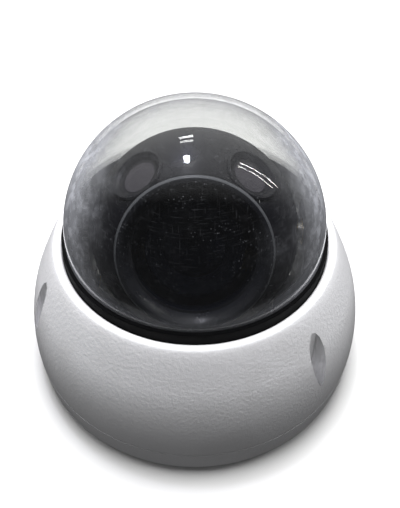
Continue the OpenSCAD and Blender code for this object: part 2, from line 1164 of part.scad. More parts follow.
base_casting();
cover_casting();
cover_seal();
cover_screws();
screw_clips();
dome_bubble();
dome_gasket();
dome_clamp_ring();
clamp_screws();
cable_grommet();
main_board();
board_screws();
network_socket();
power_terminal();
switch_body();
reset_button();
chassis_plate();
chassis_screws();
bearing_outer();
bearing_balls();
bearing_inner();
pan_motor();
pan_pinion();
slip_ring_housing();
slip_ring_rotor();
turntable();
yoke_left();
yoke_right();
yoke_screws();
tilt_bush_left();
tilt_bush_right();
tilt_motor();
motor_bracket();
idler_pin();
tilt_idler();
tilt_pinion();
tilt_gear();
trunnion_left();
trunnion_right();
ball_front_shell();
ball_rear_shell();
hood_ring();
lens_window();
ir_windows();
ir_led_boards();
ir_lamps();
lens_plate();
lens_barrel();
lens_front_ring();
front_element();
zoom_ring();
zoom_group();
focus_ring();
focus_group();
zoom_drive();
focus_drive();
filter_frame();
filter_slide();
sensor_board();
lens_motors();
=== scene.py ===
"""The looks of a small dome camera with motorised pan, tilt, zoom and focus.

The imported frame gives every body, joint and size. The classes below model the pieces that show,
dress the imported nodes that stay, and set up a plain studio round them.
"""

import json
import logging
import math
from dataclasses import dataclass, field
from enum import Enum

import bmesh
import bpy
from mathutils import Matrix, Vector


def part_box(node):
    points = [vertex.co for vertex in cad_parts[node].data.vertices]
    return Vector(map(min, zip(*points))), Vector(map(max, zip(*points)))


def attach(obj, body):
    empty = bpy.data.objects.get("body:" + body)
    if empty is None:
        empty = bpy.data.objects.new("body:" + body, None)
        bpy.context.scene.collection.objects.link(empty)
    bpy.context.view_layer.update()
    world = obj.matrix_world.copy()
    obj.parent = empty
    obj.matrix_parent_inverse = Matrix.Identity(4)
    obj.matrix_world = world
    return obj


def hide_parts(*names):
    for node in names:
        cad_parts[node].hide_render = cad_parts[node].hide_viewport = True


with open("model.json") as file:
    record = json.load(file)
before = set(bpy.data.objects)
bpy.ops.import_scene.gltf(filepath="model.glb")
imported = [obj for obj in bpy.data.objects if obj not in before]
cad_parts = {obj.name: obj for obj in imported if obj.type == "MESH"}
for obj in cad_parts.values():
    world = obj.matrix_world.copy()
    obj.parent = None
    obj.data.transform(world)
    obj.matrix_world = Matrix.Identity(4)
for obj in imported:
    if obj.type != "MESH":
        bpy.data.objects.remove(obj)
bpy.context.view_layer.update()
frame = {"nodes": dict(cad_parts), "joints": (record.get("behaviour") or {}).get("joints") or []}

MM = 0.001
LOG = logging.getLogger("dome_camera")
Point = tuple[float, float]
Colour = tuple[float, float, float]


class Body(str, Enum):
    """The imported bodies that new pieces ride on."""

    HOUSING = "housing"
    BALL = "camera_ball"


class Slot(str, Enum):
    """The record's material slots, listed beside some new pieces, which take their finishes directly."""

    COAT = "powder_coat"
    DOME = "clear_dome"
    RUBBER = "black_rubber"
    SHELL = "black_plastic"
    MATT = "matt_black"
    STEEL = "plain_steel"
    LENS = "lens_glass"
    SMOKED = "smoked_window"
    BOARD = "circuit_board"


# ---------------------------------------------------------------- shader building


class Signal:
    """One socket of a shader tree, with maths written as plain expressions."""

    def __init__(self, shader: "Shader", socket: bpy.types.NodeSocket) -> None:
        """Wraps a socket.

        Args:
            shader: The shader that the socket belongs to.
            socket: The output socket.
        """
        self.shader = shader
        self.socket = socket

    def _math(self, operation: str, first: object, second: object) -> "Signal":
        """Adds a Math node.

        Args:
            operation: The Math node's operation.
            first: Its first value or signal.
            second: Its second value or signal.

        Returns:
            The node's result.
        """
        return self.shader.node("ShaderNodeMath", {"operation": operation}, [first, second])

    def __add__(self, other: object) -> "Signal":
        """self + other."""
        return self._math("ADD", self, other)

    __radd__ = __add__

    def __sub__(self, other: object) -> "Signal":
        """self - other."""
        return self._math("SUBTRACT", self, other)

    def __rsub__(self, other: object) -> "Signal":
        """other - self."""
        return self._math("SUBTRACT", other, self)

    def __mul__(self, other: object) -> "Signal":
        """self * other."""
        return self._math("MULTIPLY", self, other)

    __rmul__ = __mul__

    def __pow__(self, other: object) -> "Signal":
        """self to the power of other."""
        return self._math("POWER", self, other)

    def step(self, low: float, high: float, to: Point = (0.0, 1.0)) -> "Signal":
        """Maps a range of this value smoothly to another range, with its ends held.

        Args:
            low: The value that gives the first end.
            high: The value that gives the second end.
            to: The two ends.

        Returns:
            The mapped value.
        """
        return self.shader.node(
            "ShaderNodeMapRange",
            {"interpolation_type": "SMOOTHSTEP"},
            [self, low, high, to[0], to[1]],
        )


class Shader:
    """A material under construction."""

    def __init__(self, name: str) -> None:
        """Starts an empty node material.

        Args:
            name: The material's name.
        """
        self.material = bpy.data.materials.new(name)
        self.material.use_nodes = True
        self.tree = self.material.node_tree
        self.tree.nodes.clear()
        self.out = self.tree.nodes.new("ShaderNodeOutputMaterial")

    def raw(self, kind: str, settings: dict, inputs: object) -> bpy.types.Node:
        """Adds a node of any type.

        Args:
            kind: The node's type.
            settings: Attributes, set before the sockets. "stops" fills a colour ramp.
            inputs: Values or signals, by place or by socket name.

        Returns:
            The node.
        """
        made = self.tree.nodes.new(kind)
        for key, value in settings.items():
            if key != "stops":
                setattr(made, key, value)
                continue
            ramp = made.color_ramp
            while len(ramp.elements) < len(value):
                ramp.elements.new(0.5)
            for element, (place, colour) in zip(ramp.elements, value):
                element.position = place
                element.color = (*colour, 1.0)
        pairs = inputs.items() if isinstance(inputs, dict) else enumerate(inputs)
        for key, value in pairs:
            self.feed(made.inputs[key], value)
        return made

    def feed(self, socket: bpy.types.NodeSocket, value: object) -> None:
        """Links or sets one input socket.

        Args:
            socket: The input socket.
            value: A signal, a number, or a colour or vector as a tuple.
        """
        if isinstance(value, Signal):
            self.tree.links.new(value.socket, socket)
        elif socket.type == "RGBA" and isinstance(value, tuple) and len(value) == 3:
            socket.default_value = (*value, 1.0)
        elif value is not None:
            socket.default_value = value

    def node(self, kind: str, settings: dict, inputs: object, output: object = 0) -> Signal:
        """Adds a node and returns one of its outputs.

        Args:
            kind: The node's type.
            settings: Attributes, set before the sockets.
            inputs: Values or signals, by place or by socket name.
            output: The output's place or name.

        Returns:
            The chosen output as a signal.
        """
        return Signal(self, self.raw(kind, settings, inputs).outputs[output])

    def place(self, turn: Point = (0.0, 0.0), stretch: tuple = (1.0, 1.0, 1.0)) -> Signal:
        """Object coordinates, turned and stretched.

        Args:
            turn: Turns about X and Z, in radians.
            stretch: The scale along each axis.

        Returns:
            The coordinates.
        """
        here = self.node("ShaderNodeTexCoord", {}, [], "Object")
        return self.node(
            "ShaderNodeMapping",
            {},
            {"Vector": here, "Rotation": (turn[0], 0.0, turn[1]), "Scale": stretch},
        )

    def noise(self, scale: float, detail: float = 2.0, where: Signal | None = None) -> Signal:
        """A noise value from 0 to 1.

        Args:
            scale: Cells per metre.
            detail: Octaves.
            where: The coordinates, or None for plain object coordinates.

        Returns:
            The noise.
        """
        where = where or self.place()
        return self.node(
            "ShaderNodeTexNoise",
            {},
            {"Vector": where, "Scale": scale, "Detail": detail, "Roughness": 0.55},
            0,
        )

    def specks(self, scale: float, size: float, where: Signal | None = None) -> Signal:
        """Small round specks, 1 on a speck.

        Args:
            scale: Cells per metre.
            size: How far a speck reaches in its cell.
            where: The coordinates, or None for plain object coordinates.

        Returns:
            The mask.
        """
        where = where or self.place()
        far = self.node("ShaderNodeTexVoronoi", {}, {"Vector": where, "Scale": scale}, "Distance")
        return far.step(size, size * 0.5)

    def blend(self, factor: object, first: object, second: object) -> Signal:
        """Mixes two colours.

        Args:
            factor: How much of the second colour.
            first: The first colour.
            second: The second colour.

        Returns:
            The mixed colour.
        """
        made = self.raw("ShaderNodeMix", {"data_type": "RGBA"}, {"Factor": factor})
        self.feed(made.inputs[6], first)
        self.feed(made.inputs[7], second)
        return Signal(self, made.outputs[2])

    def bump(self, height: Signal, strength: float, distance: float) -> Signal:
        """A bumped normal.

        Args:
            height: The height from 0 to 1.
            strength: How strongly it shows.
            distance: The height's size in metres.

        Returns:
            The normal.
        """
        return self.node(
            "ShaderNodeBump", {}, {"Strength": strength, "Distance": distance, "Height": height}
        )

    def principled(self, **inputs: object) -> Signal:
        """A Principled shader, with socket names written with underscores.

        Args:
            **inputs: Values or signals by socket name.

        Returns:
            The shader.
        """
        named = {key.replace("_", " "): value for key, value in inputs.items()}
        return self.node("ShaderNodeBsdfPrincipled", {}, named)

    def done(self, surface: Signal) -> bpy.types.Material:
        """Joins the surface to the output.

        Args:
            surface: The finished shader.

        Returns:
            The material.
        """
        self.feed(self.out.inputs["Surface"], surface)
        return self.material


# ---------------------------------------------------------------- finishes


@dataclass(frozen=True)
class PowderCoat:
    """Light grey powder coat with orange peel, specks and a little grime."""

    colour: Colour = (0.78, 0.78, 0.8)
    grime: Colour = (0.33, 0.32, 0.3)
    peel_per_m: float = 620.0
    roughness: float = 0.42

    def make(self) -> bpy.types.Material:
        """Builds the coat.

        Returns:
            The material.
        """
        s = Shader("powder_coat")
        peel = s.noise(self.peel_per_m, 3.0) + s.noise(self.peel_per_m * 3.0, 2.0) * 0.35
        blotch = s.noise(38.0, 4.0).step(0.48, 0.75)
        dirt = s.specks(330.0, 0.13) * s.noise(60.0).step(0.5, 0.7)
        tint = s.blend(blotch * 0.12, self.colour, self.grime)
        tint = s.blend(dirt * 0.55, tint, self.grime)
        rough = blotch * 0.12 + self.roughness
        return s.done(
            s.principled(
                Base_Color=tint,
                Roughness=rough,
                Normal=s.bump(peel, 0.42, 0.0004),
                Coat_Weight=0.25,
                Coat_Roughness=0.22,
            )
        )


@dataclass(frozen=True)
class ClearBubble:
    """Clear moulded plastic with haze, dust, smudges and fine scratches, and a whitish film band at its foot that
    is a painted highlight.
    """

    haze: Colour = (0.45, 0.46, 0.5)
    tint: Colour = (0.885, 0.888, 0.88)
    glow: Colour = (0.62, 0.66, 1.0)
    face_on: float = 0.04
    foot_low: float = 0.0785
    foot_high: float = 0.0812
    side_from: float = 0.024
    side_to: float = 0.05

    def make(self) -> bpy.types.Material:
        """Builds the bubble's material.

        Returns:
            The material.
        """
        s = Shader("clear_bubble")
        edge = s.node("ShaderNodeLayerWeight", {}, {"Blend": 0.5}, "Facing")
        apart = s.raw("ShaderNodeSeparateXYZ", {}, [s.node("ShaderNodeTexCoord", {}, [], "Object")])
        across, height = Signal(s, apart.outputs[0]), Signal(s, apart.outputs[2])
        side = s.node("ShaderNodeMath", {"operation": "ABSOLUTE"}, [across])
        side = side.step(self.side_from, self.side_to)
        # A whitish film band round the bubble's foot, stronger at the sides: a painted highlight standing in for
        # the bright lines of light along the foot.
        foot = height.step(self.foot_high, self.foot_low)
        cloud = s.noise(34.0, 6.0)
        smudge = cloud.step(0.5, 0.7)
        mottle = s.noise(210.0, 5.0).step(0.45, 0.7)
        dust = s.specks(560.0, 0.17) * s.noise(90.0).step(0.42, 0.66)
        scratch = s.noise(160.0, 1.0, s.place((0.6, 0.5), (1.0, 1.0, 22.0))).step(0.66, 0.71)
        second = s.noise(140.0, 1.0, s.place((0.2, -0.9), (20.0, 1.0, 1.0))).step(0.68, 0.73)
        dirt = smudge * 0.045 + dust * 0.22 + (scratch + second) * 0.09 + smudge * mottle * 0.1
        rim = (edge ** 3.5) * (0.4 + side * 1.9) * (0.6 + mottle * 0.8)
        cover = 0.0005 + dirt * (0.22 + side * 1.2) + dust * 0.1 + rim + foot * (0.3 + side * 0.25)
        clear = s.node("ShaderNodeBsdfTransparent", {}, {"Color": self.tint})
        film = s.node("ShaderNodeBsdfDiffuse", {}, {"Color": self.haze})
        gloss = s.node("ShaderNodeBsdfAnisotropic", {}, {"Color": (1.0, 1.0, 1.0), "Roughness": 0.035})
        soft = s.node("ShaderNodeBsdfAnisotropic", {}, {"Color": self.glow, "Roughness": 0.34})
        shine = (edge ** 5.0) * (0.85 - self.face_on) + self.face_on
        body = s.node("ShaderNodeMixShader", {}, [cover, clear, film])
        body = s.node("ShaderNodeMixShader", {}, [0.003 + smudge * 0.012, body, soft])
        return s.done(s.node("ShaderNodeMixShader", {}, [shine, body, gloss]))


@dataclass(frozen=True)
class Moulding:
    """A moulded plastic or rubber with a fine spark texture and dust."""

    name: str
    colour: Colour
    roughness: float
    grain_per_m: float = 900.0
    bump: float = 0.15
    dust: float = 0.1
    dust_colour: Colour = (0.25, 0.25, 0.26)
    coat: float = 0.0
    shine: float = 0.5

    def make(self) -> bpy.types.Material:
        """Builds the moulding's material.

        Returns:
            The material.
        """
        s = Shader(self.name)
        grain = s.noise(self.grain_per_m, 2.0)
        film = s.noise(70.0, 4.0).step(0.45, 0.75)
        motes = s.specks(700.0, 0.15) * s.noise(110.0).step(0.5, 0.65)
        tint = s.blend(film * (0.5 * self.dust) + motes * self.dust, self.colour, self.dust_colour)
        return s.done(
            s.principled(
                Base_Color=tint,
                Roughness=film * 0.16 + self.roughness,
                Specular_IOR_Level=self.shine,
                Normal=s.bump(grain, self.bump, 0.00008),
                Coat_Weight=self.coat,
                Coat_Roughness=0.12,
            )
        )


@dataclass(frozen=True)
class Metal:
    """A bare metal with turned or brushed lines."""

    name: str
    colour: Colour
    roughness: float = 0.32
    lines_per_m: float = 260.0

    def make(self) -> bpy.types.Material:
        """Builds the metal's material.

        Returns:
            The material.
        """
        s = Shader(self.name)
        lines = s.noise(self.lines_per_m, 3.0, s.place(stretch=(1.0, 14.0, 1.0)))
        stain = s.noise(120.0, 3.0).step(0.4, 0.8)
        dark = tuple(0.55 * c for c in self.colour)
        return s.done(
            s.principled(
                Base_Color=s.blend(stain * 0.4, self.colour, dark),
                Metallic=1.0,
                Roughness=lines * 0.22 + self.roughness,
                Normal=s.bump(lines, 0.12, 0.00005),
            )
        )


@dataclass(frozen=True)
class CircuitBoard:
    """Green solder mask over copper tracks."""

    mask: Colour = (0.012, 0.11, 0.045)
    track: Colour = (0.03, 0.2, 0.08)
    pad: Colour = (0.62, 0.55, 0.3)

    def make(self) -> bpy.types.Material:
        """Builds the board's material.

        Returns:
            The material.
        """
        s = Shader("circuit_board")
        here = s.place()
        tracks = s.node(
            "ShaderNodeTexBrick",
            {"offset": 0.5},
            {"Vector": here, "Scale": 260.0, "Mortar Size": 0.09, "Color1": (0, 0, 0), "Color2": (0, 0, 0),
             "Mortar": (1, 1, 1)},
            "Fac",
        )
        vias = s.specks(420.0, 0.2) * s.noise(60.0).step(0.45, 0.5)
        tint = s.blend(tracks * 0.6, self.mask, self.track)
        tint = s.blend(vias, tint, self.pad)
        return s.done(
            s.principled(
                Base_Color=tint,
                Metallic=vias * 0.9,
                Roughness=tracks * 0.1 + 0.25,
                Normal=s.bump(tracks, 0.3, 0.00006),
            )
        )


@dataclass(frozen=True)
class LensGlass:
    """Coated or smoked glass over a dark inside, its colour turning to the coating's tint at grazing angles as a
    painted reflection.
    """

    name: str
    colour: Colour
    coat: Colour
    clear: float = 0.6
    roughness: float = 0.04

    def make(self) -> bpy.types.Material:
        """Builds the glass.

        Returns:
            The material.
        """
        s = Shader(self.name)
        smear = s.noise(130.0, 4.0).step(0.5, 0.8)
        edge = s.node("ShaderNodeLayerWeight", {}, {"Blend": 0.5}, "Facing")
        through = s.node("ShaderNodeBsdfTransparent", {}, {"Color": (0.75, 0.78, 0.85)})
        # The base colour turns from colour to coat towards grazing view angles: a painted reflection of the
        # coating's tint. The specular tint is a real reflection.
        solid = s.principled(
            Base_Color=s.blend(edge, self.colour, self.coat),
            Roughness=smear * 0.12 + self.roughness,
            Coat_Weight=1.0,
            Coat_Roughness=0.03,
            Specular_Tint=self.coat,
        )
        hold = 1.0 - (1.0 - smear * 0.3) * self.clear
        return s.done(s.node("ShaderNodeMixShader", {}, [hold, through, solid]))


@dataclass(frozen=True)
class Floor:
    """A plain pale floor."""

    colour: Colour = (0.6, 0.6, 0.6)

    def make(self) -> bpy.types.Material:
        """Builds the floor's material.

        Returns:
            The material.
        """
        s = Shader("pale_floor")
        patch = s.noise(6.0, 2.0)
        darker = tuple(0.98 * c for c in self.colour)
        return s.done(s.principled(Base_Color=s.blend(patch, self.colour, darker), Roughness=0.9))


class Finishes:
    """Every material of the camera, made once."""

    def __init__(self) -> None:
        """Builds the materials."""
        self.coat = PowderCoat().make()
        self.bubble = ClearBubble().make()
        self.rubber = Moulding(
            "black_rubber", (0.003, 0.003, 0.0035), 0.7, 500.0, 0.3, 0.02, shine=0.15
        ).make()
        self.shell = Moulding("ball_black", (0.006, 0.006, 0.009), 0.22, 1100.0, 0.1, 0.05).make()
        self.matt = Moulding("matt_black", (0.012, 0.012, 0.013), 0.5, 1000.0, 0.25, 0.08).make()
        self.trim = Moulding("trim_grey", (0.01, 0.0105, 0.014), 0.26, 1200.0, 0.12, 0.05).make()
        # A lighter grey for the hood's rounded outer edge: a painted highlight, the thin bright line where the
        # edge catches light.
        self.painted_highlight = Moulding("painted_edge_highlight", (0.085, 0.088, 0.1), 0.3, 1200.0, 0.1, 0.08).make()
        self.light = Moulding("light_plastic", (0.86, 0.86, 0.84), 0.4, 700.0, 0.12, 0.05).make()
        self.nylon = Moulding("gear_nylon", (0.03, 0.03, 0.032), 0.38, 800.0, 0.1, 0.08).make()
        self.green = Moulding("terminal_green", (0.03, 0.26, 0.1), 0.35, 900.0, 0.1, 0.03).make()
        self.steel = Metal("plain_steel", (0.6, 0.6, 0.59)).make()
        self.screw = Metal("screw_steel", (0.72, 0.71, 0.69), 0.2, 600.0).make()
        self.brass = Metal("brass_part", (0.78, 0.58, 0.26)).make()
        self.gold = Metal("gold_contact", (0.95, 0.72, 0.3), 0.2).make()
        self.board = CircuitBoard().make()
        # The second colour of each glass is its coating tint, painted into the colour at grazing angles as a
        # painted reflection.
        self.lens = LensGlass("lens_glass", (0.004, 0.005, 0.008), (0.1, 0.14, 0.28), 0.75).make()
        self.window = LensGlass("front_window", (0.006, 0.006, 0.008), (0.04, 0.045, 0.06), 0.85).make()
        self.smoked = LensGlass("smoked_window", (0.035, 0.034, 0.04), (0.09, 0.08, 0.1), 0.3, 0.1).make()
        self.lamp = LensGlass("lamp_lens", (0.3, 0.3, 0.3), (0.6, 0.6, 0.62), 0.3, 0.08).make()


# ---------------------------------------------------------------- mesh building


class Outline:
    """A path of radius and height, in millimetres, that a lathe turns."""

    def __init__(self) -> None:
        """Starts an empty path."""
        self.points: list[Point] = []

    def to(self, *points: Point) -> "Outline":
        """Adds corners.

        Args:
            *points: Radius and height pairs.

        Returns:
            This path.
        """
        self.points.extend(points)
        return self

    def arc(self, centre: Point, radius: float, start: float, end: float, steps: int) -> "Outline":
        """Adds an arc.

        Args:
            centre: The arc's centre.
            radius: Its radius.
            start: Its first angle in degrees, 0 pointing outwards and 90 up.
            end: Its last angle.
            steps: How many straight pieces stand for it.

        Returns:
            This path.
        """
        for k in range(steps + 1):
            a = math.radians(start + (end - start) * k / steps)
            self.points.append((centre[0] + radius * math.cos(a), centre[1] + radius * math.sin(a)))
        return self

    def blend(self, start: Point, leaving: float, end: Point, arriving: float, steps: int) -> "Outline":
        """Adds a smooth curve between two points that meets a slope at each end.

        Args:
            start: The first point, which is on the path already.
            leaving: The direction in which the curve leaves it, in radians.
            end: The last point, which the caller adds.
            arriving: The direction in which the curve arrives.
            steps: How many straight pieces stand for it.

        Returns:
            This path.
        """
        first, last = Vector(start), Vector(end)
        out = Vector((math.cos(leaving), math.sin(leaving)))
        back = Vector((math.cos(arriving), math.sin(arriving)))
        gap = last - first
        reach = (gap.x * back.y - gap.y * back.x) / (out.x * back.y - out.y * back.x)
        bend = first + out * reach
        for k in range(1, steps):
            t = k / steps
            spot = first * (1 - t) ** 2 + bend * (2 * t * (1 - t)) + last * t**2
            self.points.append((spot.x, spot.y))
        return self


class Shape:
    """A mesh under construction, in millimetres."""

    def __init__(self) -> None:
        """Starts an empty mesh."""
        self.bm = bmesh.new()

    def turned(self, outline: Outline, steps: int = 160, place: Matrix | None = None) -> "Shape":
        """Adds a closed outline turned about Z.

        Args:
            outline: The closed outline.
            steps: How many steps go round.
            place: Where it goes.

        Returns:
            This shape.
        """
        part = bmesh.new()
        corners = [part.verts.new((r, 0.0, z)) for r, z in outline.points]
        pairs = zip(corners, corners[1:] + corners[:1])
        edges = [part.edges.new(pair) for pair in pairs]
        bmesh.ops.spin(
            part, geom=corners + edges, axis=(0, 0, 1), cent=(0, 0, 0), angle=math.tau, steps=steps,
            use_merge=True
        )
        bmesh.ops.remove_doubles(part, verts=part.verts, dist=0.0005)
        bmesh.ops.dissolve_degenerate(part, edges=part.edges, dist=0.0005)
        bmesh.ops.delete(part, geom=[e for e in part.edges if not e.link_faces], context="EDGES")
        bmesh.ops.recalc_face_normals(part, faces=part.faces)
        return self._take(part, place)

    def block(self, size: tuple, at: tuple, edge: float = 0.2, segments: int = 2) -> "Shape":
        """Adds a block with rounded edges.

        Args:
            size: Its size along each axis.
            at: Its centre.
            edge: The radius of its edges.
            segments: How many faces round an edge.

        Returns:
            This shape.
        """
        part = bmesh.new()
        bmesh.ops.create_cube(part, size=1.0)
        bmesh.ops.scale(part, vec=Vector(size), verts=part.verts)
        bmesh.ops.bevel(
            part, geom=part.edges[:], affect="EDGES", offset=edge, segments=segments, profile=0.5, material=-1
        )
        return self._take(part, Matrix.Translation(at))

    def rod(self, radius: float, low: float, high: float, place: Matrix | None = None, edge: float = 0.15,
            sides: int = 48) -> "Shape":
        """Adds a rod along Z with rounded ends.

        Args:
            radius: Its radius.
            low: Its lower end.
            high: Its upper end.
            place: Where it goes.
            edge: The radius of its end edges.
            sides: How many sides it has; 6 gives a hexagon.

        Returns:
            This shape.
        """
        part = bmesh.new()
        bmesh.ops.create_cone(
            part, cap_ends=True, segments=sides, radius1=radius, radius2=radius, depth=high - low
        )
        rims = [e for e in part.edges if abs(e.verts[0].co.z - e.verts[1].co.z) < 1e-6]
        bmesh.ops.bevel(part, geom=rims, affect="EDGES", offset=edge, segments=2, profile=0.5, material=-1)
        bmesh.ops.translate(part, vec=(0, 0, (low + high) / 2), verts=part.verts)
        return self._take(part, place)

    def _take(self, part: bmesh.types.BMesh, place: Matrix | None) -> "Shape":
        """Joins another mesh to this one.

        Args:
            part: The mesh to take over.
            place: Where it goes.

        Returns:
            This shape.
        """
        if place is not None:
            bmesh.ops.transform(part, matrix=place, verts=part.verts)
        holder = bpy.data.meshes.new("part")
        part.to_mesh(holder)
        part.free()
        self.bm.from_mesh(holder)
        bpy.data.meshes.remove(holder)
        return self


@dataclass
class Bench:
    """Turns shapes into placed, dressed pieces that ride on a body."""

    crease: float = 32.0

    def piece(self, shape: Shape, name: str, body: Body, finish: bpy.types.Material,
              stands_for: tuple[str, ...] = (), place: Matrix | None = None) -> bpy.types.Object:
        """Makes a piece from a shape.

        Args:
            shape: The shape, in millimetres.
            name: The piece's name.
            body: The body that it rides on.
            finish: Its material.
            stands_for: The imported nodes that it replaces.
            place: Where it goes, in millimetres.

        Returns:
            The piece.
        """
        made = self.raw(shape, name, place)
        made.data.materials.append(finish)
        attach(made, body.value)
        if stands_for:
            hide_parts(*stands_for)
        LOG.info("piece %s: %d faces on %s", name, len(made.data.polygons), body.value)
        return made

    def raw(self, shape: Shape, name: str, place: Matrix | None = None) -> bpy.types.Object:
        """Makes an undressed object from a shape, in metres.

        Args:
            shape: The shape, in millimetres.
            name: The object's name.
            place: Where it goes, in millimetres.

        Returns:
            The object.
        """
        bm = shape.bm
        if place is not None:
            bmesh.ops.transform(bm, matrix=place, verts=bm.verts)
        bmesh.ops.scale(bm, vec=(MM, MM, MM), verts=bm.verts)
        self.soften(bm)
        mesh = bpy.data.meshes.new(name)
        bm.to_mesh(mesh)
        bm.free()
        made = bpy.data.objects.new(name, mesh)
        bpy.context.scene.collection.objects.link(made)
        return made

    def soften(self, bm: bmesh.types.BMesh) -> None:
        """Shades a mesh smooth, apart from its creases.

        Args:
            bm: The mesh.
        """
        for face in bm.faces:
            face.smooth = True
        limit = math.radians(self.crease)
        for edge in bm.edges:
            edge.smooth = len(edge.link_faces) == 2 and edge.calc_face_angle(0.0) < limit

    def carve(self, target: bpy.types.Object, tools: list, operation: str = "DIFFERENCE") -> None:
        """Cuts tools out of a target, or joins them to it, and removes the tools.

        Args:
            target: The object to change.
            tools: The objects that cut it.
            operation: DIFFERENCE, UNION or INTERSECT.
        """
        for tool in tools:
            cut = target.modifiers.new("cut", "BOOLEAN")
            cut.operation, cut.solver, cut.object = operation, "EXACT", tool
        bpy.context.view_layer.update()
        graph = bpy.context.evaluated_depsgraph_get()
        made = bpy.data.meshes.new_from_object(target.evaluated_get(graph))
        target.modifiers.clear()
        old, target.data = target.data, made
        bpy.data.meshes.remove(old)
        for tool in tools:
            bpy.data.objects.remove(tool)
        bm = bmesh.new()
        bm.from_mesh(made)
        bmesh.ops.remove_doubles(bm, verts=bm.verts, dist=2e-6)
        bmesh.ops.dissolve_degenerate(bm, edges=bm.edges, dist=2e-6)
        self.soften(bm)
        bm.to_mesh(made)
        bm.free()


def polar(angle: float, distance: float, height: float = 0.0) -> Matrix:
    """A place at an angle and a distance from the centre line, turned to face outwards.

    Args:
        angle: The angle from +X, in degrees.
        distance: The distance in millimetres.
        height: The height in millimetres.

    Returns:
        The place.
    """
    turn = Matrix.Rotation(math.radians(angle), 4, "Z")
    return turn @ Matrix.Translation((distance, 0.0, height))


# ---------------------------------------------------------------- the housing


